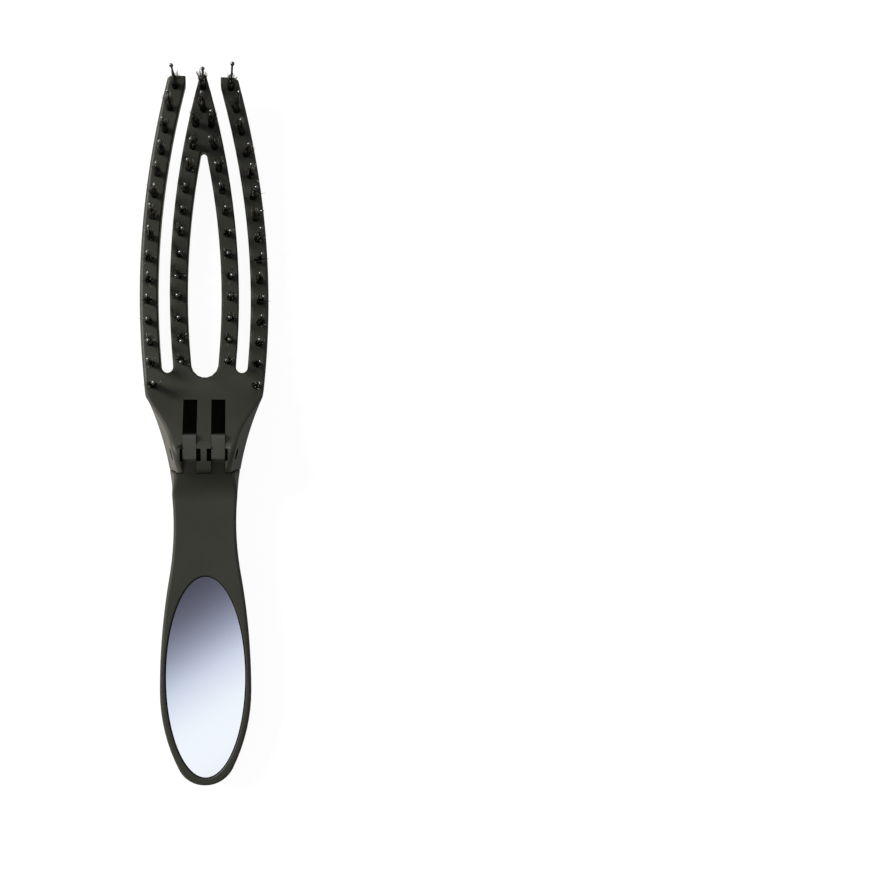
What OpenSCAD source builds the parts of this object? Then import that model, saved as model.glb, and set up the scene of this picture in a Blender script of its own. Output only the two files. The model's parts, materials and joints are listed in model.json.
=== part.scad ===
// Folding hairbrush with a mirror in its handle.
// The head and the handle turn on one cross pin. Open, they lie in line, bristles and mirror up.
// Profiles are drawn about the hinge pin: +Y to the head's tip, +Z to the bristles.
// lay_down() then rests the open brush on its belly and its handle end.

/* [Head] */
// Distance from the hinge pin to the head's tip
head_l = 110; // [104:0.2:122]
// Half-width of the head at its widest place
head_half = 19; // [18:0.05:20.5]
// Distance from the hinge pin to the widest place
head_mid = 46; // [40:0.5:50]
// Radius of the head's side outline
head_r = 234; // [230:1:280]
// Distance from the hinge pin to the angular shoulders
shoulder_y = 16.3; // [15:0.1:18.5]
// Lowest place of the bristle face, below the pin
face_low = 16.1; // [15.6:0.1:16.8]
// Radius of the hollow bristle face, seen from the side
face_r = 192; // [180:1:220]
// Lowest place of the belly, below the pin
belly_low = 22.6; // [22:0.1:24]
// Radius of the belly, seen from the side
belly_r = 150; // [140:1:170]
// Distance from the hinge pin to the middle of both side arcs
arc_mid = 62.3; // [58:0.1:66]
// Rounding of the head's edges
head_round = 1.1; // [0.6:0.1:1.4]
// Length that the side walls lose at the head's square tip
tip_chamfer = 0.6; // [0.4:0.1:2]

/* [Vents] */
// Rounding of the vents' edges
vent_round = 0.7; // [0.4:0.1:0.9]
// Half-width of the side vents' outer outline
gap_half = 13.7; // [13.3:0.1:14.3]
// Radius of the side vents' outer outline
gap_r = 222; // [214:1:250]
// Half-width of the inner arms' outer outline
fork_half = 10.2; // [9.7:0.1:10.5]
// Radius of the inner arms' outer outline
fork_r = 225; // [214:1:236]
// Half-width of the middle vent
vent_half = 5; // [4.4:0.1:5.4]
// Radius of the middle vent's sides
vent_r = 213; // [200:1:225]
// Distance from the hinge pin to the widest place of all vents
vent_mid = 46.5; // [45:0.5:51]
// Distance from the hinge pin to the middle of the side vents' round ends
gap_end_y = 25.2; // [24:0.1:27]
// Distance from the hinge pin to the middle of the middle vent's wide round end
vent_near_y = 26.1; // [25.5:0.1:28]
// Distance from the head's tip to the middle of its narrow round end
vent_tip = 22; // [21:0.1:28]

/* [Hinge] */
// Diameter of the hinge pin
pin_d = 3.4; // [3:0.1:3.6]
// How far each pin end lies inside the side wall
pin_recess = 1.2; // [0.4:0.1:1.8]
// Radius of the knuckles about the pin
knuckle_r = 5.4; // [5.2:0.1:5.6]
// How much narrower the block is at its front, on each side
block_draft = 3.2; // [2:0.1:3.4]
// Length of the hollow between the block's slope and the bristle face
foot_l = 4; // [2:0.5:6]
// Width of each tongue
tongue_w = 3.8; // [3.6:0.1:4.2]
// Distance between the middles of the two tongues
tongue_pitch = 8.1; // [7.8:0.1:8.8]
// Reach of a tongue past the pin
tongue_reach = 5.7; // [5.4:0.1:6]
// Height of a tongue's flat top above the pin
tongue_top = 4.6; // [4.2:0.1:4.9]
// Depth of a tongue's long part below the pin
tongue_step = 13.3; // [12.8:0.1:13.5]
// Reach of a tongue past the pin below that part
tongue_stop = 3.5; // [3:0.1:3.7]
// Far end of the slots, from the pin
slot_end = 15.6; // [15:0.05:16.6]
// Thickness of the wall that closes the slots at the back
slot_wall = 2.4; // [2:0.1:2.6]
// Length of the pockets beside the tongues, along the brush
pocket_l = 3.6; // [3.4:0.1:4]
// Depth of the pockets below the pin's axis
pocket_h = 2.7; // [2.4:0.1:3]
// Width of the outer pockets
pocket_out = 0.7; // [0.5:0.05:1]
// Width of the pockets at the middle bar
pocket_in = 1.2; // [0.8:0.05:1.3]

/* [Handle] */
// Distance from the hinge pin to the handle's end
handle_l = 98.8; // [96.5:0.1:108]
// Half-width of the waist
waist_half = 9.1; // [8.6:0.1:9.6]
// Distance from the hinge pin to the waist
waist_y = 21.1; // [18:0.1:22.5]
// Half-width of the handle at its widest place
handle_half = 13.35; // [13.1:0.05:14.6]
// Distance from the hinge pin to the widest place
handle_mid = 70.5; // [66:0.1:72]
// Radius of the handle's round end
end_r = 8.8; // [7.5:0.1:10]
// Back of the handle and of the hinge block, below the pin
back_low = 16.8; // [16.4:0.1:17.4]
// Front of the handle round the mirror, below the pin
rim_low = 6.8; // [6.4:0.1:7.2]
// Where the heel reaches the mirror's level, from the pin
heel_end = 14; // [12:0.1:16]
// How much narrower the handle is at the heel's front, on each side
heel_draft = 1.7; // [1:0.1:2.2]
// Hollow of the back at the waist
waist_dip = 1.3; // [0:0.1:1.8]
// Half-length of that hollow
dip_half = 17.5; // [14:0.5:18]
// Rounding of the handle's back edges
back_round = 3.8; // [2.5:0.1:4]
// Rounding of the handle's front edges
rim_round = 1; // [0.6:0.1:1.2]

/* [Mirror] */
// Half-length of the mirror
mirror_a = 29.9; // [27:0.1:30.2]
// Half-width of the mirror
mirror_b = 11.6; // [11:0.1:11.8]
// Distance from the hinge pin to the mirror's middle
mirror_mid = 66.4; // [65:0.1:67]
// Thickness of the mirror glass
mirror_t = 1.2; // [1:0.1:1.8]
// Thickness of the adhesive pad under the mirror
adhesive_t = 0.2; // [0.15:0.05:0.4]
// How far the mirror lies below the rim
mirror_sink = 0.3; // [0.2:0.05:0.5]
// Half-length of the oval plate in the back
inlay_a = 24; // [20:0.5:26]
// Half-width of the oval plate
inlay_b = 8.4; // [7:0.1:8.8]
// Thickness of the oval plate
inlay_t = 0.8; // [0.6:0.1:1.2]

/* [Bristles] */
// Tufts in each outer row, behind the tip row
outer_count = 14; // [10:1:15]
// Tufts in each inner row
inner_count = 12; // [8:1:13]
// Distance from the hinge pin to the nearest outer tufts
outer_near = 19.8; // [19.2:0.1:21]
// Distance from the hinge pin to the nearest inner tufts
inner_near = 27; // [26.5:0.1:30]
// Distance from the head's tip to the tip row
tip_row = 2.8; // [2.6:0.1:3.2]
// Distance from the head's tip to the row behind it
next_row = 9; // [8.5:0.1:10]
// Distance from the head's tip to the farthest inner tufts
inner_tip = 13.4; // [12.8:0.1:16]
// Diameter of a tuft in its hole
tuft_d = 1.9; // [1.6:0.1:2]
// Diameter of a tuft at its top
tuft_top_d = 2.6; // [2:0.1:2.8]
// Height of a tuft above the face
tuft_h = 10.3; // [8:0.1:12]
// Depth of a tuft hole
hole_h = 3.2; // [2.4:0.1:3.4]
// Diameter of a nylon pin's shaft
shaft_d = 0.6; // [0.4:0.05:0.8]
// Height of a nylon pin above the face
shaft_h = 15.7; // [13:0.1:16.5]
// Diameter of the ball at a pin's tip
ball_d = 1.2; // [0.9:0.05:1.4]
// Length of the drop-shaped ball
ball_l = 1.9; // [1.4:0.1:2.2]
// Length of the head over which the tufts lean more and more to the tip
lean_l = 25; // [15:1:35]
// Lean of the tip row, in degrees
lean_tip = 10; // [0:1:15]
// Length of the staple that holds a tuft
staple_l = 1.7; // [1.2:0.05:1.75]
// Thickness of the staple
staple_t = 0.35; // [0.25:0.05:0.5]
// Height of the staple
staple_h = 0.8; // [0.5:0.05:1]

/* [Clearances] */
// Radial clearance of the hinge pin
pin_clear = 0.05; // [0.03:0.01:0.08]
// Side clearance of a tongue in its slot
slot_clear = 0.12; // [0.1:0.01:0.3]
// Gap between the butt faces of head and handle
butt_gap = 0.4; // [0.35:0.05:0.9]
// Gap between a tongue's step and the edge it stops on
stop_clear = 0.1; // [0.05:0.01:0.2]
// Clearance round the mirror and the oval plate
seat_clear = 0.2; // [0.1:0.05:0.3]
// Clearance round a tuft, a shaft or a staple
tuft_clear = 0.05; // [0.03:0.01:0.08]

/* [Hidden] */
$fn = 48;

body_colour = [0.22, 0.22, 0.2];
steel_colour = [0.5, 0.5, 0.52];
glass_colour = [0.78, 0.83, 0.92];
boar_colour = [0.13, 0.1, 0.08];
nylon_colour = [0.09, 0.08, 0.08];

// Reach of a cutter past the face that it opens
past = 1;

// Half-width at y of an outline that is one arc of radius r, widest at mid
function lens_x(y, half, r, mid) = half - r + sqrt(r * r - (y - mid) * (y - mid));
// Height at y of an arc of radius r whose lowest place is low below the pin
function arc_z(y, low, r) = -low + r - sqrt(r * r - (y - arc_mid) * (y - arc_mid));
function between(a, b, n) = [for (i = [0:n]) a + (b - a) * i / n];
function beyond(a, b, n) = [for (i = [1:n]) a + (b - a) * i / n];

// The concave arc of the waist passes through the shoulders
shoulder_half = lens_x(shoulder_y, head_half, head_r, head_mid);
waist_rise = shoulder_half - waist_half;
waist_run = shoulder_y + waist_y;
waist_r = (waist_rise * waist_rise + waist_run * waist_run) / (2 * waist_rise);
function waist_x(y) = waist_half + waist_r - sqrt(waist_r * waist_r - (y + waist_y) * (y + waist_y));

// The convex arc of the handle's side is tangent to the waist's arc
side_rise = handle_half - waist_half;
side_run = handle_mid - waist_y;
radii = (side_rise * side_rise + side_run * side_run) / (2 * side_rise);
side_r = radii - waist_r;
tangent_y = -waist_y - side_run * waist_r / radii;

// Side view of the hinge block: knuckle, then a 45 degree slope down to the bristle face
slope_top = knuckle_r * sin(45);
slope_sum = knuckle_r * sqrt(2);
slope_mid = arc_mid + slope_sum + face_low - face_r;
slope_end = (slope_mid + sqrt(slope_mid * slope_mid - 2 * (arc_mid * arc_mid - face_r * face_r
    + pow(slope_sum + face_low - face_r, 2)))) / 2;
function face_z(y) = arc_z(y, face_low, face_r);
function foot(d) = pow(max(0, foot_l - abs(d)), 2) / (4 * foot_l);
function head_top(y) =
    y < slope_top ? sqrt(max(0, knuckle_r * knuckle_r - y * y))
    : max(slope_sum - y, face_z(y)) + foot(slope_sum - y - face_z(y));
function head_bottom(y) = min(y < arc_mid ? -back_low : 0, arc_z(y, belly_low, belly_r));

// The side walls lean in ever more towards the front. The lean fades out at the shoulders.
function eased(s) = let (t = max(0, min(1, s))) t * t * (3 - 2 * t);
function leaning(t) = t * t;
draft_end = shoulder_y + foot_l / 2;
draft_full = shoulder_y / 3;
function head_draft(y) = block_draft * eased((draft_end - y) / (draft_end - draft_full));

// Side view of the handle
butt_y = knuckle_r + butt_gap;
heel_start = 1;
heel_steps = 12;
root_y = heel_start - heel_end;
function heel_z(y) =
    let (s = max(0, min(1, (-heel_start - y) / (heel_end - heel_start))))
    -rim_low + (tongue_top + rim_low) * (1 - s) * (1 - s);
dip_mid = butt_y + dip_half;
function handle_bottom(y) =
    let (t = (y + dip_mid) / dip_half)
    -back_low + (abs(t) < 1 ? waist_dip * pow(cos(90 * t), 2) : 0);
function handle_x(y) = y > tangent_y ? waist_x(y)
    : handle_half - side_r + sqrt(side_r * side_r - (y + handle_mid) * (y + handle_mid));

// Resting place: the belly's circle and the handle's back edge touch the ground together
rest_y = handle_l - back_round;
belly_up = belly_r - belly_low;
lay_angle = asin(belly_r / norm([arc_mid + rest_y, belly_up + back_low]))
    - atan2(belly_up + back_low, arc_mid + rest_y);
pin_z = belly_r - (arc_mid * sin(lay_angle) + belly_up * cos(lay_angle));
tip_row_y = head_l - tip_row;
ball_up = shaft_h - ball_d / 2;
ball_y = tip_row_y + ball_up * sin(lean_tip);
ball_z = face_z(tip_row_y) + ball_up * cos(lean_tip);
tip_reach = max(head_l * cos(lay_angle) - head_bottom(head_l) * sin(lay_angle),
    ball_y * cos(lay_angle) - ball_z * sin(lay_angle) + ball_d / 2);
end_reach = handle_l * cos(lay_angle) - (rim_low + rim_round) * sin(lay_angle);
pin_y = (end_reach - tip_reach) / 2;
module lay_down() { translate([0, pin_y, pin_z]) rotate([lay_angle, 0, 0]) children(); }

// One closed loft along the brush. right and left hold the [x, y] of its two sides, low and high
// give its back and front at y. The layers near the back and the front hold [pull-in, depth]:
// edges pull in on a solid, and a cutter, which reaches over the faces, flares out instead, so
// that the edges it leaves are round. draft narrows the front.
fillet_steps = 6;
function fillet(r) = [for (k = [0:fillet_steps])
    r * [1 - sin(90 * k / fillet_steps), 1 - cos(90 * k / fillet_steps)]];
function flared(r, over) = [[-r, -over], [-r, -r / 4], [-r / 2, r / 7], [-r / 7, r / 2], [0, r]];
module loft(right, left, low, high, low_layers, high_layers, draft = function(y) 0,
            round_start = false, round_end = false) {
    last = len(right) - 1;
    side = len(low_layers) + len(high_layers);
    ring = 2 * side;
    function turn(edge, i, sign) =
        let (d = edge[min(last, i + 1)] - edge[max(0, i - 1)])
        (i == 0 && !round_start) || (i == last && !round_end) ? [sign, 0]
        : sign * [d.y, -d.x] / norm(d);
    function spot(edge, i, j, sign) =
        let (below = j < len(low_layers),
             layer = below ? low_layers[j] : high_layers[side - 1 - j],
             flat = edge[i] - layer[0] * turn(edge, i, sign),
             z0 = low(flat.y), z1 = high(flat.y),
             z = below ? z0 + layer[1] : z1 - layer[1],
             x = sign * flat.x - draft(flat.y) * leaning((z - z0) / (z1 - z0)))
        [sign * (layer[0] > 0 ? max(x, abs(edge[0].x) / 2) : x), flat.y, z];
    points = [for (i = [0:last]) each concat(
        [for (j = [0:side - 1]) spot(right, i, j, 1)],
        [for (j = [side - 1:-1:0]) spot(left, i, j, -1)])];
    walls = [for (i = [0:last - 1], k = [0:ring - 1])
        let (a = i * ring + k, b = i * ring + (k + 1) % ring) each
        [[a, b, b + ring], [a, b + ring, a + ring]]];
    start = [for (k = [0:side - 2])
        let (b = ring - 1 - k) each [[b, b - 1, k + 1], [b, k + 1, k]]];
    end = [for (f = start) [for (v = [2:-1:0]) f[v] + last * ring]];
    polyhedron(points, concat(walls, start, end), convexity = 6);
}
function mirrored(edge) = [for (p = edge) [-p.x, p.y]];

// A plate across the brush, drawn as [y, z] and centred on x
module plate(x, w) { translate([x - w / 2, 0, 0]) rotate([90, 0, 90]) linear_extrude(w) children(); }
module cross_pin(d, l) { rotate([0, 90, 0]) cylinder(d = d, h = l, center = true); }
ellipse_step = 3;
module ellipse(a, b) {
    polygon([for (t = [0:ellipse_step:360 - ellipse_step]) [b * sin(t), a * cos(t)]]);
}

// Outline of the head's blank, from the butt face to the tip
knuckle_steps = 13;
slope_steps = 6;
arm_steps = 26;
knuckle_stations = [for (t = between(180, 45, knuckle_steps)) knuckle_r * cos(t)];
foot_end = slope_end + foot_l;
block_stations = beyond(slope_top, shoulder_y, slope_steps);
foot_stations = beyond(shoulder_y, foot_end, slope_steps);
arm_stations = beyond(foot_end, head_l - 2 * tip_chamfer, arm_steps);
function head_x(y) = y < shoulder_y ? waist_x(y) : lens_x(y, head_half, head_r, head_mid);
head_outline = concat(
    [for (y = concat(knuckle_stations, block_stations, foot_stations, arm_stations)) [head_x(y), y]],
    [[head_x(head_l - tip_chamfer), head_l - tip_chamfer], [head_x(head_l) - tip_chamfer, head_l]]);

// Outline of the handle, from its round end to the butt face. The end's arc and the flank's arc
// are tangent.
end_half = 0.8;
end_steps = 10;
flank_steps = 8;
grip_steps = 18;
waist_steps = 14;
end_mid = handle_l - end_r;
end_run = end_mid - handle_mid;
flank_r = (end_run * end_run + handle_half * handle_half - end_r * end_r) / (2 * (handle_half - end_r));
flank_angle = asin(end_run / (flank_r - end_r));
end_outline = [for (a = between(asin(end_half / end_r), 90 - flank_angle, end_steps))
    [end_r * sin(a), -end_mid - end_r * cos(a)]];
flank_outline = [for (a = beyond(flank_angle, 0, flank_steps))
    [handle_half - flank_r * (1 - cos(a)), -handle_mid - flank_r * sin(a)]];
grip_stations = beyond(-handle_mid, root_y - foot_l, grip_steps);
heel_stations = beyond(root_y - foot_l, -butt_y, waist_steps);
side_outline = [for (y = concat(grip_stations, heel_stations)) [handle_x(y), y]];
handle_outline = concat(end_outline, flank_outline, side_outline);

// Tuft sites as [x, y, lean]. The last site of each outer row and of the middle is in the tip row.
function lean(y) = lean_tip * pow(max(0, (y - tip_row_y) / lean_l + 1), 2);
function outer_x(y) = (lens_x(y, head_half, head_r, head_mid) + lens_x(y, gap_half, gap_r, vent_mid)) / 2;
function inner_x(y) =
    (lens_x(y, fork_half, fork_r, vent_mid) + max(0, lens_x(y, vent_half, vent_r, vent_mid))) / 2;
function outer_sites(side) =
    [for (y = concat(between(outer_near, head_l - next_row, outer_count - 1), tip_row_y))
        [side * outer_x(y), y, lean(y)]];
function inner_sites(side) =
    [for (y = between(inner_near, head_l - inner_tip, inner_count - 1))
        [side * inner_x(y), y, lean(y)]];
tip_sites = [for (y = [head_l - next_row, tip_row_y]) [0, y, lean(y)]];

// Puts its children at each site, upright on the bristle face
module at_sites(sites) {
    for (s = sites)
        translate([s.x, s.y, head_top(s.y)]) rotate([-s.z, 0, 0]) children();
}

module tuft_hole() { translate([0, 0, -hole_h]) cylinder(d = tuft_d + 2 * tuft_clear, h = hole_h + past); }

// Vents. Each side starts on the round end next to the hinge; the side vents run out at the tip.
module vent(right, left, round_end) {
    loft(right, left, function(y) arc_z(y, belly_low, belly_r), function(y) head_top(y),
        flared(vent_round, vent_over), flared(vent_round, vent_over), round_start = true,
        round_end = round_end);
}
vent_over = 2;
first_step = 1;
gap_steps = 16;
vent_steps = 13;
round_angles = [10, 32, 58, 80];
gap_in = lens_x(gap_end_y, fork_half, fork_r, vent_mid);
gap_out = lens_x(gap_end_y, gap_half, gap_r, vent_mid);
function gap_end(sign) =
    [for (a = round_angles) [gap_in + gap_out, 2 * gap_end_y] / 2
        + (gap_out - gap_in) / 2 * [sign * sin(a), -cos(a)]];
gap_stations = between(gap_end_y + first_step, head_l + vent_over, gap_steps);
gap_outside = concat(gap_end(1), [for (y = gap_stations) [lens_x(y, gap_half, gap_r, vent_mid), y]]);
gap_inside = concat(gap_end(-1), [for (y = gap_stations) [lens_x(y, fork_half, fork_r, vent_mid), y]]);

vent_far_y = head_l - vent_tip;
near_r = lens_x(vent_near_y, vent_half, vent_r, vent_mid);
far_r = lens_x(vent_far_y, vent_half, vent_r, vent_mid);
vent_edge = concat(
    [for (a = round_angles) [0, vent_near_y] + near_r * [sin(a), -cos(a)]],
    [for (y = between(vent_near_y + first_step, vent_far_y - first_step / 2, vent_steps))
        [lens_x(y, vent_half, vent_r, vent_mid), y]],
    [for (a = round_angles) [0, vent_far_y] + far_r * [cos(a), sin(a)]]);

// Room for one tongue: a deep slot, open through the back only up to the stop edge
module tongue_slot(x) {
    w = tongue_w + 2 * slot_clear;
    plate(x, w) {
        translate([-butt_y, slot_wall - back_low]) square([butt_y + slot_end, back_low + knuckle_r]);
        translate([-butt_y, -back_low - past]) square([butt_y + tongue_stop + stop_clear, back_low]);
    }
}

// Pockets beside a tongue, down past the pin
module pockets(side) {
    inner = tongue_pitch / 2 - tongue_w / 2 - slot_clear;
    outer = tongue_pitch / 2 + tongue_w / 2 + slot_clear;
    plate(side * (inner - pocket_in + outer + pocket_out) / 2, outer + pocket_out - inner + pocket_in)
        translate([-pocket_l / 2, -pocket_h]) square([pocket_l, back_low]);
}

module head_frame() color(body_colour) lay_down() difference() {
    loft(head_outline, mirrored(head_outline), function(y) head_bottom(y), function(y) head_top(y),
        fillet(head_round), fillet(head_round), draft = function(y) head_draft(y));
    vent(vent_edge, mirrored(vent_edge), true);
    vent(gap_outside, gap_inside, false);
    vent(mirrored(gap_inside), mirrored(gap_outside), false);
    for (s = [-1, 1]) {
        tongue_slot(s * tongue_pitch / 2);
        pockets(s);
        at_sites(outer_sites(s)) tuft_hole();
        at_sites(inner_sites(s)) tuft_hole();
    }
    at_sites(tip_sites) tuft_hole();
    cross_pin(pin_d + 2 * pin_clear, 3 * head_half);
}

pin_share = leaning(back_low / (back_low + knuckle_r));
pin_l = 2 * (waist_x(0) - block_draft * pin_share - pin_recess);
module hinge_pin() color(steel_colour) lay_down() cross_pin(pin_d, pin_l);

// Side view of a tongue: flat top, heel curve into the handle, stepped end.
// Its root lies a little inside the handle's skin.
tongue_corner = 0.9;
root_in = 0.5;
module tongue_profile() {
    polygon(concat(
        [for (a = [0:15:90])
            [tongue_reach, tongue_top] + tongue_corner * [cos(a) - 1, sin(a) - 1]],
        [for (y = between(-heel_start, -butt_y, heel_steps)) [y, heel_z(y)]],
        [for (y = between(-butt_y - root_in, root_y, heel_steps)) [y, heel_z(y) - root_in]],
        [for (y = between(root_y, -butt_y - root_in, heel_steps)) [y, handle_bottom(y) + root_in]],
        [[-butt_y, -back_low], [tongue_stop, -back_low], [tongue_stop, -tongue_step],
         [tongue_reach, -tongue_step]]));
}

module handle_body() color(body_colour) lay_down() difference() {
    union() {
        loft(handle_outline, mirrored(handle_outline), function(y) handle_bottom(y),
            function(y) heel_z(y), fillet(back_round), fillet(rim_round),
            draft = function(y) heel_draft * eased((y - root_y) / (-butt_y - root_y)), round_start = true);
        for (s = [-1, 1]) plate(s * tongue_pitch / 2, tongue_w) tongue_profile();
    }
    cross_pin(pin_d + 2 * pin_clear, 3 * head_half);
    translate([0, -mirror_mid, -rim_low - mirror_sink - mirror_t - adhesive_t])
        linear_extrude(back_low) ellipse(mirror_a + seat_clear, mirror_b + seat_clear);
    translate([0, -mirror_mid, -back_low - past])
        linear_extrude(past + inlay_t) ellipse(inlay_a + seat_clear, inlay_b + seat_clear);
}

module mirror_glass() color(glass_colour) lay_down()
    translate([0, -mirror_mid, -rim_low - mirror_sink - mirror_t])
        linear_extrude(mirror_t) ellipse(mirror_a, mirror_b);

adhesive_in = 1;
module mirror_adhesive() color("white") lay_down()
    translate([0, -mirror_mid, -rim_low - mirror_sink - mirror_t - adhesive_t])
        linear_extrude(adhesive_t) ellipse(mirror_a - adhesive_in, mirror_b - adhesive_in);

module back_inlay() color(body_colour) lay_down()
    translate([0, -mirror_mid, -back_low])
        linear_extrude(inlay_t) ellipse(inlay_a, inlay_b);

// Boar bristles of one tuft, flared, with a way for the nylon pin
module tuft() {
    difference() {
        union() {
            translate([0, 0, staple_h - hole_h]) cylinder(d = tuft_d, h = hole_h - staple_h, $fn = 24);
            cylinder(d1 = tuft_d, d2 = tuft_top_d, h = tuft_h, $fn = 24);
        }
        translate([0, 0, -hole_h]) cylinder(d = shaft_d + 2 * tuft_clear, h = 2 * tuft_h, $fn = 24);
    }
}

// Nylon pin: a shaft with a drop-shaped ball. The drop's cone ends on the ball where it is nearly
// as wide as the ball.
cone_share = 0.95;
module nylon_pin() {
    translate([0, 0, staple_h - hole_h])
        cylinder(d = shaft_d, h = hole_h - staple_h + shaft_h - ball_l / 2, $fn = 24);
    translate([0, 0, shaft_h - ball_d / 2]) sphere(d = ball_d, $fn = 24);
    translate([0, 0, shaft_h - ball_l])
        cylinder(d1 = shaft_d, d2 = cone_share * ball_d,
            h = ball_l - ball_d / 2 * (1 + sqrt(1 - cone_share * cone_share)), $fn = 24);
}

// Flat wire staple at the bottom of a hole
module staple() {
    translate([-staple_l / 2, -staple_t / 2, -hole_h]) cube([staple_l, staple_t, staple_h]);
}

module tufts_outer_left() color(boar_colour) lay_down() at_sites(outer_sites(-1)) tuft();
module tufts_inner_left() color(boar_colour) lay_down() at_sites(inner_sites(-1)) tuft();
module tufts_inner_right() color(boar_colour) lay_down() at_sites(inner_sites(1)) tuft();
module tufts_outer_right() color(boar_colour) lay_down() at_sites(outer_sites(1)) tuft();
module tuft_tip() color(boar_colour) lay_down() at_sites(tip_sites) tuft();

module pins_outer_left() color(nylon_colour) lay_down() at_sites(outer_sites(-1)) nylon_pin();
module pins_inner_left() color(nylon_colour) lay_down() at_sites(inner_sites(-1)) nylon_pin();
module pins_inner_right() color(nylon_colour) lay_down() at_sites(inner_sites(1)) nylon_pin();
module pins_outer_right() color(nylon_colour) lay_down() at_sites(outer_sites(1)) nylon_pin();
module pin_tip() color(nylon_colour) lay_down() at_sites(tip_sites) nylon_pin();

module staples_outer_left() color(steel_colour) lay_down() at_sites(outer_sites(-1)) staple();
module staples_inner_left() color(steel_colour) lay_down() at_sites(inner_sites(-1)) staple();
module staples_inner_right() color(steel_colour) lay_down() at_sites(inner_sites(1)) staple();
module staples_outer_right() color(steel_colour) lay_down() at_sites(outer_sites(1)) staple();
module staple_tip() color(steel_colour) lay_down() at_sites(tip_sites) staple();

head_frame();
hinge_pin();
handle_body();
mirror_glass();
mirror_adhesive();
back_inlay();
tufts_outer_left();
tufts_inner_left();
tufts_inner_right();
tufts_outer_right();
tuft_tip();
pins_outer_left();
pins_inner_left();
pins_inner_right();
pins_outer_right();
pin_tip();
staples_outer_left();
staples_inner_left();
staples_inner_right();
staples_outer_right();
staple_tip();
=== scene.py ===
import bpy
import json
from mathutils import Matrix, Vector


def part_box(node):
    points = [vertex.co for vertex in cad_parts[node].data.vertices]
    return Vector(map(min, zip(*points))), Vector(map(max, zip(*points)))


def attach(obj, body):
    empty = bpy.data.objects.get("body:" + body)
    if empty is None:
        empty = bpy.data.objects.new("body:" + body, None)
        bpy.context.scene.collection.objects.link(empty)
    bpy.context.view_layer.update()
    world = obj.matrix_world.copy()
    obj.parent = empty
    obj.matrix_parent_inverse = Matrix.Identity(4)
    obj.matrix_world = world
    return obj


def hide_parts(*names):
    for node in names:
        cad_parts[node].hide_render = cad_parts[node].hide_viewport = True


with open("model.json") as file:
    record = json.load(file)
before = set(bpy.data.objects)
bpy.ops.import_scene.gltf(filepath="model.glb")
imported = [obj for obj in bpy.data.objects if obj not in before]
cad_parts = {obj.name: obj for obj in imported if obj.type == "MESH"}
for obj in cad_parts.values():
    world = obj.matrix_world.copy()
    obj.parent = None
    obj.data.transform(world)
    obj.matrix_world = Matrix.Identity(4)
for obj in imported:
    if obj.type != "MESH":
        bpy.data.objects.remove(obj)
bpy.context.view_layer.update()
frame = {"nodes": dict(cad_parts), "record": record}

import json
from math import asin, cos, pi, radians, sin, tan
import bmesh
import bpy
import numpy as np
from mathutils import Vector

scene = bpy.context.scene
nodes = frame["nodes"]
mm = 0.001
pinAt = np.array(frame["record"]["behaviour"]["joints"][0]["pos_m"])  # the hinge pin's middle
# the open brush lies tilted, on the head's belly and the handle's end
layAngle = asin(frame["record"]["mounts"][0]["axis"][1])
rows = ["outer_left", "inner_left", "inner_right", "outer_right", "tip"]


def rowNode(kind, row):
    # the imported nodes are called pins_outer_left and so on, and pin_tip for the two at the tip
    return kind[:-1] + "_tip" if row == "tip" else kind + "_" + row


# camera: above the open brush, turned so that the brush falls in the picture's left half
view = {
    "pixel": 0.2962,  # mm of the object in one pixel
    "picture": 870,  # pixels on a side
    "pinColumn": 204.6,  # where the hinge pin's middle stands in the picture
    "pinRow": 453.5,
    "eyeColumn": 235.0,  # the place straight under the lens
    "distance": 400.0,  # mm from that place to the lens
    "plane": 9.3,  # mm above the floor, where the scale holds
    "sensor": 36.0,
    "heading": -0.23,  # degrees that the whole camera is turned about the pin's middle
    "clip": (0.02, 20),  # metres to the nearest and the farthest point that shows
}


def makeCamera():
    pixel, half = view["pixel"], view["picture"] / 2
    right = (view["eyeColumn"] - view["pinColumn"]) * pixel
    ahead = (view["pinRow"] - half) * pixel
    # the pin stands right * cos + distance * sin of the turn left of the picture's middle, and the cosine is
    # taken as 1
    left = (half - view["pinColumn"]) * pixel
    turn = asin((left - right) / view["distance"])
    depth = view["distance"] * cos(turn) - right * sin(turn)
    data = bpy.data.cameras.new("camera")
    data.sensor_width = view["sensor"]
    data.lens = view["sensor"] * depth / pixel / view["picture"]
    data.clip_start, data.clip_end = view["clip"]
    eye = bpy.data.objects.new("camera", data)
    heading = radians(view["heading"])
    eye.location = (
        (right * cos(heading) - ahead * sin(heading)) * mm,
        pinAt[1] + (right * sin(heading) + ahead * cos(heading)) * mm,
        (view["plane"] + view["distance"]) * mm,
    )
    eye.rotation_euler = (0, -turn, heading)
    scene.collection.objects.link(eye)
    scene.camera = eye


makeCamera()
print("camera made")


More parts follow.
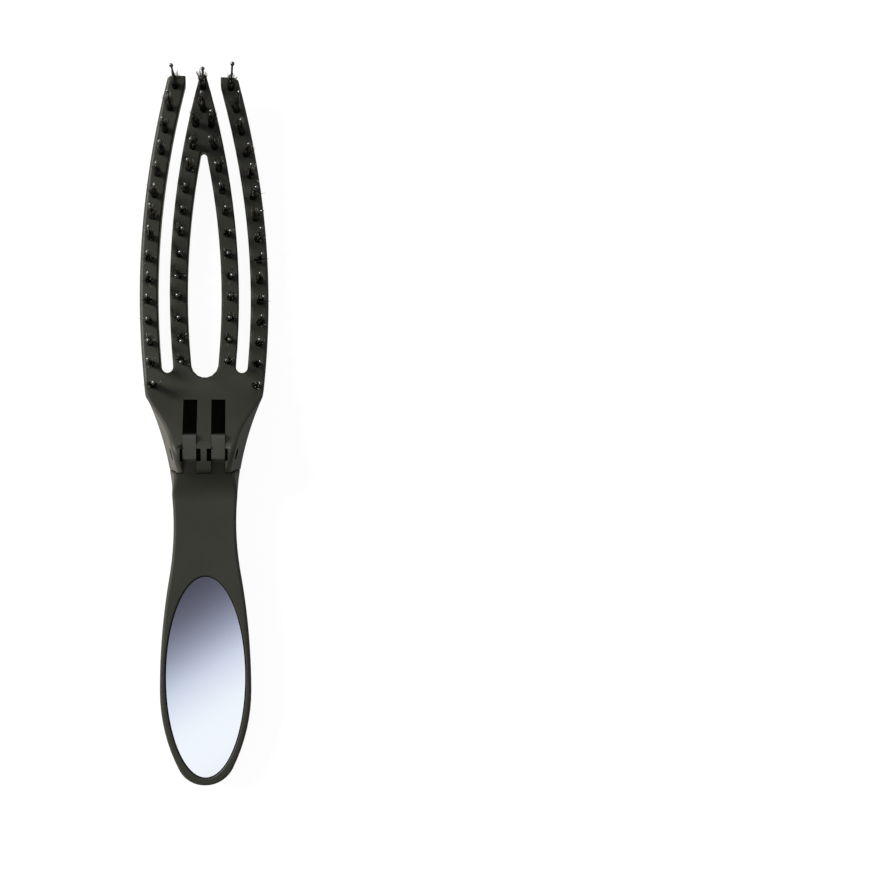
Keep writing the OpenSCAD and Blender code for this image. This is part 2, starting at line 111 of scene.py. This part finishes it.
class Wire:
    # one node output: sums of wires add their Math nodes, and node() adds any other node
    def __init__(self, tree, socket=None):
        self.tree, self.socket = tree, socket

    def node(self, kind, settings=(), inputs=(), output=0):
        # settings come first, because they can change the node's sockets; a tuple is a colour
        made = self.tree.nodes.new(kind)
        for name, value in dict(settings).items():
            if name == "smooth":
                made.color_ramp.interpolation = "B_SPLINE"
            elif name == "stops":
                ramp = made.color_ramp.elements
                while len(ramp) < len(value):
                    ramp.new(0.5)
                for stop, (at, colour) in zip(ramp, value):
                    stop.position, stop.color = at, (*colour, 1)
            else:
                setattr(made, name, value)
        for key, value in dict(inputs).items():
            if isinstance(value, Wire):
                self.tree.links.new(value.socket, made.inputs[key])
            elif isinstance(value, tuple):
                made.inputs[key].default_value = (*value, 1)
            else:
                made.inputs[key].default_value = value
        return Wire(self.tree, made.outputs[output] if len(made.outputs) else None)

    def output(self, key):
        # another output of the same node
        return Wire(self.tree, self.socket.node.outputs[key])

    def combine(self, operation, a, b):
        return self.node("ShaderNodeMath", {"operation": operation}, {0: a, 1: b})

    def __add__(self, other):
        return self.combine("ADD", self, other)

    __radd__ = __add__

    def __mul__(self, other):
        return self.combine("MULTIPLY", self, other)

    __rmul__ = __mul__

    def __sub__(self, other):
        return self.combine("SUBTRACT", self, other)

    def __rsub__(self, other):
        return self.combine("SUBTRACT", other, self)

    def __lt__(self, other):
        return self.combine("LESS_THAN", self, other)

    def __gt__(self, other):
        return self.combine("GREATER_THAN", self, other)

    def between(self, least, most):
        # the wire runs from 0 to 1
        return self * (most - least) + least

    def blend(self, a, b):
        # the wire is the share of b; 6, 7 and 2 are the node's colour sockets
        inputs = {"Factor": self, 6: a, 7: b}
        settings = {"data_type": "RGBA", "clamp_factor": True}
        return self.node("ShaderNodeMix", settings, inputs, output=2)

    def split(self):
        # a vector's three parts
        parts = self.node("ShaderNodeSeparateXYZ", {}, {0: self})
        return [parts.output(key) for key in range(3)]

    def place(self):
        # where a point of the piece lies, in metres
        return self.node("ShaderNodeTexCoord", {}, {}, "Object")

    def noise(self, scale, detail):
        # scale is in steps a metre
        inputs = {"Vector": self.place(), "Scale": scale, "Detail": detail}
        return self.node("ShaderNodeTexNoise", {}, inputs)

    def attribute(self, name):
        return self.node("ShaderNodeAttribute", {"attribute_name": name}, {}, "Fac")


def openMaterial(name):
    material = bpy.data.materials.new(name)
    material.use_nodes = True
    material.node_tree.nodes.clear()
    return material, Wire(material.node_tree)


def closeMaterial(start, inputs, paintedShade=None):
    # the last argument is the share of the surface painted black: painted shade, which gives back no light
    shader = start.node("ShaderNodeBsdfPrincipled", {}, inputs)
    if paintedShade:
        black = {"Base Color": (0.001, 0.001, 0.001), "Roughness": 1.0, "Specular IOR Level": 0.0}
        dark = start.node("ShaderNodeBsdfPrincipled", {}, black)
        shader = start.node("ShaderNodeMixShader", {}, {"Fac": paintedShade, 1: shader, 2: dark})
    start.node("ShaderNodeOutputMaterial", {}, {"Surface": shader})


# light: a soft box at the left, a broad fill beyond the head's tip, and a dark ceiling over the lens with a
# bright panel on the handle's side
light = {
    "key": {"place": (-0.93, 0.36, 0.78), "size": 0.42, "power": 18.0},  # metres and watts
    "fill": {"place": (0.15, 1.0, 0.55), "size": 0.9, "power": 2.0},
    "world": 0.2,  # how strongly the surroundings' white lights the object
    # what gloss sees instead, from the horizon at the head's tip, -1, to the one at the handle's end, 1
    "overhead": [
        (-0.7, (0.5, 0.51, 0.55)),
        (-0.35, (0.27, 0.27, 0.31)),
        (-0.05, (0.055, 0.053, 0.075)),
        (0.155, (0.06, 0.058, 0.08)),
        (0.184, (0.12, 0.12, 0.16)),
        (0.209, (0.3, 0.32, 0.4)),
        (0.233, (0.66, 0.72, 0.83)),
        (0.265, (0.96, 0.99, 1.0)),
        (0.32, (0.96, 0.99, 1.0)),
        (0.5, (0.16, 0.16, 0.17)),
        (0.9, (0.28, 0.28, 0.29)),
    ],
    "overheadSkew": 0.6,  # how much of that change also runs from left to right
}


def areaLight(name):
    lamp = light[name]
    data = bpy.data.lights.new(name, "AREA")
    data.shape, data.size, data.size_y = "RECTANGLE", lamp["size"], lamp["size"]
    data.energy = lamp["power"]
    made = bpy.data.objects.new(name, data)
    made.location = lamp["place"]
    made.rotation_euler = (-Vector(lamp["place"])).to_track_quat("-Z", "Y").to_euler()
    scene.collection.objects.link(made)
    return made


def makeLight():
    areaLight("key")
    areaLight("fill").visible_glossy = False
    world = bpy.data.worlds.new("studio")
    world.use_nodes = True
    world.node_tree.nodes.clear()
    start = Wire(world.node_tree)
    across, along = start.node("ShaderNodeTexCoord", {}, {}, "Generated").split()[:2]
    slope = (across * light["overheadSkew"] - along) * 0.5 + 0.5
    stops = [((at + 1) / 2, shade) for at, shade in light["overhead"]]
    overhead = start.node("ShaderNodeValToRGB", {"stops": stops, "smooth": True}, {"Fac": slope})
    seen = start.node("ShaderNodeLightPath", {}, {}, "Is Camera Ray")
    glossy = seen.output("Is Glossy Ray")
    colour = glossy.blend((1, 1, 1), overhead)
    # full strength for the camera and for gloss, and little for the light that the object gets
    strength = (1 - seen - glossy) * light["world"] + seen + glossy
    back = start.node("ShaderNodeBackground", {}, {"Color": colour, "Strength": strength})
    start.node("ShaderNodeOutputWorld", {}, {"Surface": back})
    scene.world = world
    scene.view_settings.view_transform = "Standard"


# floor: the camera sees it white, and the object has a table round it that is lit at the left
ground = {
    "half": 2.0,  # metres from its middle to a side
    "seenGrey": (0.12, 0.12, 0.12),  # its own grey and its glow, as the camera sees them
    "seenGlow": (0.95, 0.95, 0.95),
    "grey": (0.25, 0.25, 0.25),  # its own grey for every other ray
    "lit": (1.0, 0.94, 0.8),  # its glow at the left for those, which the left walls mirror
    "dim": (0.2, 0.2, 0.19),  # and at the right
    "dimFrom": 0.01,  # metres right of the middle where it is dim altogether
    "fade": 0.04,  # metres from there to where it is lit altogether
}


def makeFloor():
    half = ground["half"]
    mesh = bpy.data.meshes.new("floor")
    corners = [(-half, -half, 0), (half, -half, 0), (half, half, 0), (-half, half, 0)]
    mesh.from_pydata(corners, [], [(0, 1, 2, 3)])
    floor = bpy.data.objects.new("floor", mesh)
    scene.collection.objects.link(floor)
    material, start = openMaterial("floorWhite")
    seen = start.node("ShaderNodeLightPath", {}, {}, "Is Camera Ray")
    aside = start.place().split()[0]
    glow = ((ground["dimFrom"] - aside) * (1 / ground["fade"])).blend(ground["dim"], ground["lit"])
    closeMaterial(start, {
        "Base Color": seen.blend(ground["grey"], ground["seenGrey"]),
        "Emission Color": seen.blend(glow, ground["seenGlow"]),
        "Emission Strength": 1.0,
        "Roughness": 1.0,
        "Specular IOR Level": 0.0,
    })
    mesh.materials.append(material)


makeLight()
makeFloor()
print("light and floor made")


plastic = {
    "base": (0.0235, 0.024, 0.0155),
    "worn": (0.033, 0.033, 0.0235),  # where use has rubbed it a little, in soft clouds
    "aheadPale": (0.046, 0.046, 0.037),  # paler colour ahead of the pin's axis, over the tongues
    "paleStart": 2.2 * mm,  # behind the pin's axis
    "paleEase": 1.2 * mm,
    "grain": (5200.0, 3.0),  # noise steps in a metre, and detail
    "cloud": (70.0, 4.0),
    "contrast": 1.6,  # how clearly the clouds show
    "roughness": 0.5,
    "grainRough": 0.1,  # how much the grain and the clouds change it
    "cloudRough": 0.12,
    "specular": 0.4,
    "bump": 0.03 * mm,
    "bore": 1.77 * mm,  # from the hinge pin's middle, within which the plastic is painted black: painted shade in the pin's bore
}


def makePlastic(name, aheadPale):
    # the second argument is how much paler it is ahead of a line just behind the pin's axis, over the tongues
    material, start = openMaterial(name)
    grain, cloud = start.noise(*plastic["grain"]), start.noise(*plastic["cloud"])
    worn = (cloud - 0.5) * plastic["contrast"] + 0.5
    ahead, above = [part - float(at) for part, at in zip(start.place().split()[1:], pinAt[1:])]
    onTongue = (ahead + plastic["paleStart"]) * (1 / plastic["paleEase"])
    colour = (onTongue * aheadPale).blend(worn.blend(plastic["base"], plastic["worn"]), plastic["aheadPale"])
    rough = (cloud - 0.5) * plastic["cloudRough"] + (grain - 0.5) * plastic["grainRough"]
    relief = {"Height": grain, "Strength": 1.0, "Distance": plastic["bump"]}
    closeMaterial(start, {
        "Base Color": colour,
        "Roughness": rough + plastic["roughness"],
        "Specular IOR Level": plastic["specular"],
        "Normal": start.node("ShaderNodeBump", {}, relief),
    # painted shade: black inside the radius of the pin's bore
    }, paintedShade=ahead * ahead + above * above < plastic["bore"] ** 2)
    return material


headPlastic = makePlastic("softTouchHead", 0.0)
handlePlastic = makePlastic("softTouchHandle", 1.0)


def paint(mesh, material):
    mesh.materials.clear()
    mesh.materials.append(material)


def addPiece(name, mesh, body, slotName, material, *replaced):
    piece = bpy.data.objects.new(name, mesh)
    scene.collection.objects.link(piece)
    paint(mesh, material)
    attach(piece, body)
    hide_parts(*replaced)
    return piece


shells = {
    "merge": 0.002 * mm,  # points nearer than this become one
    "flat": 0.3,  # degrees up to which neighbouring faces become one
    "crease": 38,  # degrees past which an edge shows
    "sharp": 60,  # and past which it can be one that gets rounded
}


def mouldedShell(node, crease, *changes):
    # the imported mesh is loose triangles: a copy is merged, its flat faces are joined, so that each weighs as
    # a whole, and its normals are smoothed up to the crease angle
    shell = bmesh.new()
    shell.from_mesh(nodes[node].data)
    bmesh.ops.remove_doubles(shell, verts=shell.verts, dist=shells["merge"])
    bmesh.ops.dissolve_degenerate(shell, dist=shells["merge"], edges=shell.edges)
    flat = radians(shells["flat"])
    bmesh.ops.dissolve_limit(shell, angle_limit=flat, verts=shell.verts, edges=shell.edges)
    for change in changes:
        change(shell)
    mesh = bpy.data.meshes.new(node)
    shell.to_mesh(mesh)
    shell.free()
    mesh.polygons.foreach_set("use_smooth", np.ones(len(mesh.polygons), bool))
    mesh.set_sharp_from_angle(angle=radians(crease))
    return mesh


def roundEdges(shell, edges, width, steps):
    bmesh.ops.bevel(shell, geom=edges, offset=width, segments=steps, profile=0.5, affect="EDGES")
    print(len(edges), "edges rounded")


def isSharp(edge):
    return edge.calc_face_angle(0) > radians(shells["sharp"])


def glassOval():
    low, high = [np.array(corner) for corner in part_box("mirror_glass")]
    return (low + high) / 2, (high - low) / 2


seat = {
    "lip": 0.4 * mm,  # rounding of the edge round the mirror
    "steps": 4,
    "reach": 1.06,  # square of how far out that edge lies at most, in radii of the glass's oval
    "above": 0.1 * mm,  # its height over the glass's face, at least
}


def softenSeat(shell):
    # rounds the sharp edge round the mirror, which lies just outside the glass's oval and above its face
    middle, half = glassOval()
    level = middle[2] + half[2] - half[1] * tan(layAngle)  # the glass's face at the oval's middle
    lip = []
    for edge in shell.edges:
        x, y, z = (edge.verts[0].co + edge.verts[1].co) / 2
        outward = ((x - middle[0]) / half[0]) ** 2 + ((y - middle[1]) / half[1]) ** 2
        above = z - level - (y - middle[1]) * tan(layAngle)
        if 1 < outward < seat["reach"] and above > seat["above"] and isSharp(edge):
            lip.append(edge)
    roundEdges(shell, lip, seat["lip"], seat["steps"])


butt = {
    "plane": -5.8 * mm,  # the handle's butt face, along the brush from the pin's axis
    "slack": 0.02 * mm,  # how far a point of it may be off that plane
    "aside": 8.4 * mm,  # from here outwards,
    "below": 6 * mm,  # and from here downwards from the pin, it stands nearer to the head's face
    "forward": 0.38 * mm,
}


def closeButt(shell):
    # no light shows through the joint: the butt face's outer and lower points move ahead
    ahead = Vector((0, cos(layAngle), sin(layAngle)))
    for point in shell.verts:
        along = (point.co - Vector(pinAt)).dot(ahead)
        outer = abs(point.co.x) > butt["aside"] or point.co.z < pinAt[2] - butt["below"]
        if abs(along - butt["plane"]) < butt["slack"] and outer:
            point.co += ahead * butt["forward"]


prongs = {
    "straight": 2.4 * mm,  # length at the tip over which an outer prong's inner wall runs along the brush
    "slope": 0.29,  # of that wall before it
    "wall": (3 * mm, 6.3 * mm),  # how far from the middle line it stands there, at least and at most
}


def squareProngs(shell):
    # the inner walls of the two outer prongs end in a straight piece: past a cut, x grows by
    # slope * (y - cut)
    cut = max(point.co.y for point in shell.verts) - prongs["straight"]
    everything = [*shell.verts, *shell.edges, *shell.faces]
    bmesh.ops.bisect_plane(shell, geom=everything, plane_co=(0, cut, 0), plane_no=(0, 1, 0))
    near, far = prongs["wall"]
    for point in shell.verts:
        if point.co.y > cut and near < abs(point.co.x) < far:
            point.co.x += (point.co.y - cut) * prongs["slope"] * (1 if point.co.x > 0 else -1)


plate = {
    "rim": 0.22 * mm,  # rounding of the back plate's edge, which makes the line round it
    "steps": 3,
}


def softenPlate(shell):
    roundEdges(shell, [edge for edge in shell.edges if isSharp(edge)], plate["rim"], plate["steps"])


def makeShells():
    for name, node, body, slotName, material, changes in [
        ("headShell", "head_frame", "head", "head_plastic", headPlastic, [squareProngs]),
        ("handleShell", "handle_body", "handle", "handle_plastic", handlePlastic, [softenSeat, closeButt]),
        ("backPlate", "back_inlay", "handle", "inlay_plastic", handlePlastic, [softenPlate]),
    ]:
        mesh = mouldedShell(node, shells["crease"], *changes)
        piece = addPiece(name, mesh, body, slotName, material, node)
        weigh = piece.modifiers.new("normals", "WEIGHTED_NORMAL")
        weigh.mode, weigh.keep_sharp = "FACE_AREA_WITH_ANGLE", True
        print(name, "dressed")


makeShells()


mirror = {
    "silver": (0.93, 0.95, 1.0),
    # the bare edge's colour, dark as painted shade for the groove round the mirror
    "edgeShade": (0.01, 0.01, 0.01),
    "edgeShadeWidth": 0.1 * mm,  # width of the glass's bare edge, whose dark colour is also painted shade for the groove round the mirror
    "haze": (90.0, 3.0),  # noise steps in a metre, and detail
    "roughness": (0.01, 0.03),
    "crease": 30,
}


def makeMirror():
    material, start = openMaterial("silveredGlass")
    # the silvering ends in an oval short of the glass's edge, and the ring outside it is painted dark, as
    # shade for the groove round the mirror
    middle, half = glassOval()
    half = half - mirror["edgeShadeWidth"]
    aside, ahead = [(part - float(at)) * float(1 / reach)
                    for part, at, reach in zip(start.place().split()[:2], middle, half)]
    rim = aside * aside + ahead * ahead > 1.0
    closeMaterial(start, {
        "Base Color": rim.blend(mirror["silver"], mirror["edgeShade"]),
        "Metallic": 1.0,
        "Roughness": start.noise(*mirror["haze"]).between(*mirror["roughness"]),
    })
    mesh = mouldedShell("mirror_glass", mirror["crease"])
    addPiece("mirrorDisc", mesh, "handle", "mirror", material, "mirror_glass")


rod = {
    "colour": (0.02, 0.02, 0.02),
    "streaks": (3000.0, 3.0),  # noise steps in a metre, and detail
    "roughness": (0.4, 0.6),
    "crease": 40,
}


def makeSteel(name, look):
    # a plain metal whose roughness a fine noise changes
    material, start = openMaterial(name)
    closeMaterial(start, {
        "Base Color": look["colour"],
        "Metallic": 1.0,
        "Roughness": start.noise(*look["streaks"]).between(*look["roughness"]),
    })
    return material


def makePin():
    material = makeSteel("blackenedSteel", rod)
    addPiece("pinRod", mouldedShell("hinge_pin", rod["crease"]), "head", "pin_steel", material, "hinge_pin")


makeMirror()
makePin()
print("mirror and hinge pin made")


def squareTo(axis):
    # two unit vectors square to each axis
    side = np.cross(axis, [0.0, 1.0, 0.0])
    side /= np.linalg.norm(side, axis=-1, keepdims=True)
    return side, np.cross(axis, side)


def ringOf(side, other, corners):
    # (axis, corner, xyz): side * cos + other * sin of equal steps round a circle
    spin = np.arange(corners)[:, None] * 2 * pi / corners
    return np.cos(spin) * side[:, None] + np.sin(spin) * other[:, None]


def tubes(name, rings, attributes):
    # rings holds (tube, ring, corner, xyz): each tube gets side quads between its rings and a cap at both
    # ends, and an attribute's values are spread over (tube, ring, corner)
    count, tall, around = rings.shape[:3]
    corner = np.arange(around)
    base = np.arange(tall - 1)[:, None] * around
    a, b = base + corner, base + (corner + 1) % around
    sides = np.stack([a, b, b + around, a + around], -1).reshape(-1, 4)
    start = np.arange(count)[:, None, None] * tall * around
    faces = (sides + start).reshape(-1, 4)
    ends = np.stack([corner[::-1], (tall - 1) * around + corner])
    caps = (ends + start).reshape(-1, around)
    mesh = bpy.data.meshes.new(name)
    mesh.vertices.add(count * tall * around)
    mesh.vertices.foreach_set("co", rings.ravel())
    loops = np.concatenate([faces.ravel(), caps.ravel()])
    mesh.loops.add(len(loops))
    mesh.loops.foreach_set("vertex_index", loops.astype(np.int32))
    mesh.polygons.add(len(faces) + len(caps))
    starts = np.concatenate([np.arange(len(faces)) * 4, faces.size + np.arange(len(caps)) * around])
    mesh.polygons.foreach_set("loop_start", starts.astype(np.int32))
    mesh.update(calc_edges=True)
    mesh.polygons.foreach_set("use_smooth", np.ones(len(mesh.polygons), bool))
    for key, values in attributes.items():
        spread = np.broadcast_to(values, rings.shape[:3]).flatten()
        mesh.attributes.new(key, "FLOAT", "POINT").data.foreach_set("value", spread)
    mesh.validate()
    return mesh


# a tuft of boar hairs, with lengths in mm
tuft = {
    "hairs": 90,
    "thick": (0.15, 0.07),  # at the root and at the end
    "sunk": 1.0,  # below the face
    "length": (7.4, 10.2),  # the shortest and the longest, above it
    "spread": 0.9,  # from the tuft's middle to its outer hairs at the face
    "room": 0.04,  # share of that ground that the nylon pin takes
    "flare": 0.7,  # how much farther out the hairs stand at their ends
    "bend": 0.22,  # how crooked a hair is at its end
    "lean": 0.05,  # how far a whole tuft stands out of line, in radians
    "stray": 0.04,  # share of hairs that stick out
    "strayBend": (0.5, 1.7),  # how far they do
    "rings": 5,  # points along a hair
    "seed": 56,
    "dark": 0.74,  # share of hairs that are black to their ends
    "darkRoot": 0.35,  # share of its length that is black in each other hair
    "paleAndGlint": 2.4,  # how fast such a hair grows pale from there: partly its own pale tip, partly a painted glint on the hair
    "colours": [
        (0.0, (0.004, 0.0038, 0.0033)),
        (0.2, (0.03, 0.022, 0.015)),
        (0.6, (0.22, 0.18, 0.13)),
        (1.0, (0.6, 0.55, 0.45)),
    ],
    "roughness": (0.3, 0.5),
    "specular": 0.35,
}


def hairMesh(name, feet, axis, random):
    # one hair: foot + axis * s * length + outward * r * (1 + flare * s^2) + a random bend * s^2, with s from
    # 0 to 1, and a square ring about it whose width falls from root to end
    hairs = len(feet) * tuft["hairs"]
    axis = axis + random.normal(0, tuft["lean"], axis.shape)
    axis /= np.linalg.norm(axis, axis=1, keepdims=True)
    foot, up = np.repeat(feet, tuft["hairs"], 0), np.repeat(axis, tuft["hairs"], 0)
    side, other = squareTo(up)
    turn = random.uniform(0, 2 * pi, hairs)[:, None]
    out = side * np.cos(turn) + other * np.sin(turn)
    reach = tuft["spread"] * mm * np.sqrt(random.uniform(tuft["room"], 1, hairs))[:, None]
    length = random.uniform(*tuft["length"], hairs)[:, None] * mm
    bend = random.normal(0, tuft["bend"] * mm, (hairs, 3))
    stray = random.uniform(0, 1, hairs)[:, None] < tuft["stray"]
    bend = bend + stray * random.uniform(*tuft["strayBend"], (hairs, 1)) * mm * out
    tone = random.uniform(0, 1, hairs)[:, None, None]
    s = np.linspace(0, 1, tuft["rings"])[:, None]
    sunk = tuft["sunk"] * mm
    line = foot[:, None] + up[:, None] * (s * (length + sunk)[:, None] - sunk)
    line = line + (out * reach)[:, None] * (1 + tuft["flare"] * s ** 2) + bend[:, None] * s ** 2
    root, end = tuft["thick"]
    width = (root + (end - root) * s) / 2 * mm
    rings = line[:, :, None] + width[..., None] * ringOf(side, other, 4)[:, None]
    return tubes(name, rings, {"along": s, "tone": tone})


def makeHair():
    material, start = openMaterial("boarHair")
    along, tone = start.attribute("along"), start.attribute("tone")
    rise = start.combine("MAXIMUM", along - tuft["darkRoot"], 0.0)
    # paler towards the end of some hairs: their own pale tips, and painted glints as well
    paleTipsAndGlints = rise * (tone - tuft["dark"]) * (tuft["paleAndGlint"] / (1 - tuft["dark"]))
    closeMaterial(start, {
        "Base Color": start.node("ShaderNodeValToRGB", {"stops": tuft["colours"]}, {"Fac": paleTipsAndGlints}),
        "Roughness": tone.between(*tuft["roughness"]),
        "Specular IOR Level": tuft["specular"],
    })
    return material


# a nylon pin with a ball at its end, with lengths in mm
nylon = {
    "ball": 1.2,  # across
    "drop": 1.9,  # from the neck's start to the ball's end
    "collar": 0.01,  # of straight shaft before the neck
    "shaft": 0.6,  # across
    "sunk": 2.4,  # below the face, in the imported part
    "foot": 1.0,  # below the face here, where no eye gets
    "bent": 0.36,  # how far use has bent it, at the ball
    # how far use has moved a row's balls towards +X and +Y, but for the last few pins at the tip
    "set": {
        "outer_left": (0.5, 0.9),
        "inner_left": (0.6, -0.5),
        "inner_right": (0.1, -0.4),
        "outer_right": (0.8, 0.9),
        "tip": (0.1, 0.0),
    },
    "lastFew": 3,
    "rings": 7,  # on the neck, and again on the ball
    "corners": 16,  # round it
    "cap": 0.12,  # radians of the ball's end that one flat face closes
    "colour": (0.006, 0.006, 0.0055),
    "drift": (900.0, 2.0),  # noise steps in a metre, and detail
    "roughness": (0.1, 0.2),
    "gloss": {"IOR": 1.5, "Specular IOR Level": 0.2, "Coat Roughness": 0.2, "Coat IOR": 2.1},
    "shine": (0.48, 0.68),  # shares of the ball's radius over its middle between which the coat sets in
}


def islands(mesh):
    # points merged to a thousandth of a mm, and for each the lowest point number that its triangles lead to,
    # found by passing it on
    points = np.empty(len(mesh.vertices) * 3)
    mesh.vertices.foreach_get("co", points)
    corners = np.empty(len(mesh.loops), np.int32)
    mesh.loops.foreach_get("vertex_index", corners)
    points, merged = np.unique(np.round(points.reshape(-1, 3), 6), axis=0, return_inverse=True)
    triangles = merged.ravel()[corners].reshape(-1, 3)
    label, before = np.arange(len(points)), None
    while not np.array_equal(label, before):
        before = label.copy()
        np.minimum.at(label, triangles.ravel(), np.repeat(before[triangles].min(1), 3))
    return points, label


def sitesOf(node):
    # read from a packed row of pins, from the hinge to the tip: each pin's place on the face, its direction
    # and its height to the ball's middle in mm
    points, label = islands(nodes[node].data)
    half = nylon["ball"] / 2 * mm
    footHigh = 0.25 * mm  # a leaning pin's foot isn't level
    feet, balls = [], []
    for one in np.unique(label):
        pin = points[label == one]
        feet.append(pin[pin[:, 2] < pin[:, 2].min() + footHigh].mean(0))
        top = pin[pin[:, 2] > pin[:, 2].max() - half]
        balls.append([*(top[:, :2].min(0) + top[:, :2].max(0)) / 2, pin[:, 2].max() - half])
    feet, balls = np.array(feet), np.array(balls)
    order = np.argsort(feet[:, 1])
    feet, axis = feet[order], (balls - feet)[order]
    tall = np.linalg.norm(axis, axis=1)
    axis = axis / tall[:, None]
    return feet + axis * nylon["sunk"] * mm, axis, tall / mm - nylon["sunk"]


def pinMesh(name, feet, axis, tall, reach, random):
    # a pin is turned about its axis: a thin shaft, then the drop, whose radius eases from the shaft's to the
    # ball's and closes round its end
    ball, shaft, drop = nylon["ball"] / 2, nylon["shaft"] / 2, nylon["drop"]
    neck = np.linspace(0, 1, nylon["rings"])[:-1]
    dome = np.linspace(0, pi / 2 - nylon["cap"], nylon["rings"])
    # heights from the ball's middle, of all rings but the foot's
    high = np.concatenate([[ball - drop - nylon["collar"]], (ball - drop) * (1 - neck), ball * np.sin(dome)])
    ease = neck * neck * (3 - 2 * neck)
    wide = np.concatenate([[shaft, shaft], shaft + (ball - shaft) * ease, ball * np.cos(dome)]) * mm
    at = np.column_stack([np.full(len(feet), -nylon["foot"]), tall[:, None] + high])
    side, other = squareTo(axis)
    # use has bent each pin a little, by its row's set and a random reach, both times the square of its
    # height's share
    bend = random.normal(0, nylon["bent"] * mm, (len(feet), 1)) * side
    bend += random.normal(0, nylon["bent"] * mm, (len(feet), 1)) * other
    fade = np.clip(np.arange(len(feet))[::-1, None] / nylon["lastFew"], 0, 1)
    bend[:, :2] += fade * np.array(reach) * mm
    share = np.clip(at / tall[:, None], 0, None) ** 2
    line = feet[:, None] + axis[:, None] * at[..., None] * mm + bend[:, None] * share[..., None]
    rings = line[:, :, None] + wide[:, None, None] * ringOf(side, other, nylon["corners"])[:, None]
    # only the ball's top shines, so that its edge stays dark
    low, full = nylon["shine"]
    shine = np.clip((high / ball - low) / (full - low), 0, 1)
    return tubes(name, rings, {"ball": np.append(0, shine)[:, None]})


def makeNylon():
    material, start = openMaterial("blackNylon")
    closeMaterial(start, {
        "Base Color": nylon["colour"],
        "Roughness": start.noise(*nylon["drift"]).between(*nylon["roughness"]),
        "Coat Weight": start.attribute("ball"),
        **nylon["gloss"],
    })
    return material


def makeBristles():
    hairLook, nylonLook = makeHair(), makeNylon()
    random = np.random.default_rng(tuft["seed"])
    for row in rows:
        feet, axis, tall = sitesOf(rowNode("pins", row))
        mesh = hairMesh("hair_" + row, feet, axis, random)
        addPiece("hair_" + row, mesh, "head", "boar_bristle", hairLook, rowNode("tufts", row))
        mesh = pinMesh("nylon_" + row, feet, axis, tall, nylon["set"][row], random)
        addPiece("nylon_" + row, mesh, "head", "nylon", nylonLook, rowNode("pins", row))
        print(len(feet), "tufts and pins made,", row)


makeBristles()


foam = {
    "colour": (0.8, 0.8, 0.77),
    "cells": 2500.0,  # in a metre
    "roughness": (0.6, 0.9),
}

staple = {
    "colour": (0.55, 0.55, 0.55),
    "streaks": (4000.0, 2.0),  # noise steps in a metre, and detail
    "roughness": (0.25, 0.45),
}


def makeHidden():
    # the adhesive under the mirror and the staples in the holes stay as packed
    material, start = openMaterial("foamTape")
    cells = start.node("ShaderNodeTexVoronoi", {}, {"Vector": start.place(), "Scale": foam["cells"]})
    closeMaterial(start, {"Base Color": foam["colour"], "Roughness": cells.between(*foam["roughness"])})
    paint(nodes["mirror_adhesive"].data, material)
    material = makeSteel("drawnWire", staple)
    for row in rows:
        paint(nodes[rowNode("staples", row)].data, material)
    print("adhesive and staples painted")


makeHidden()
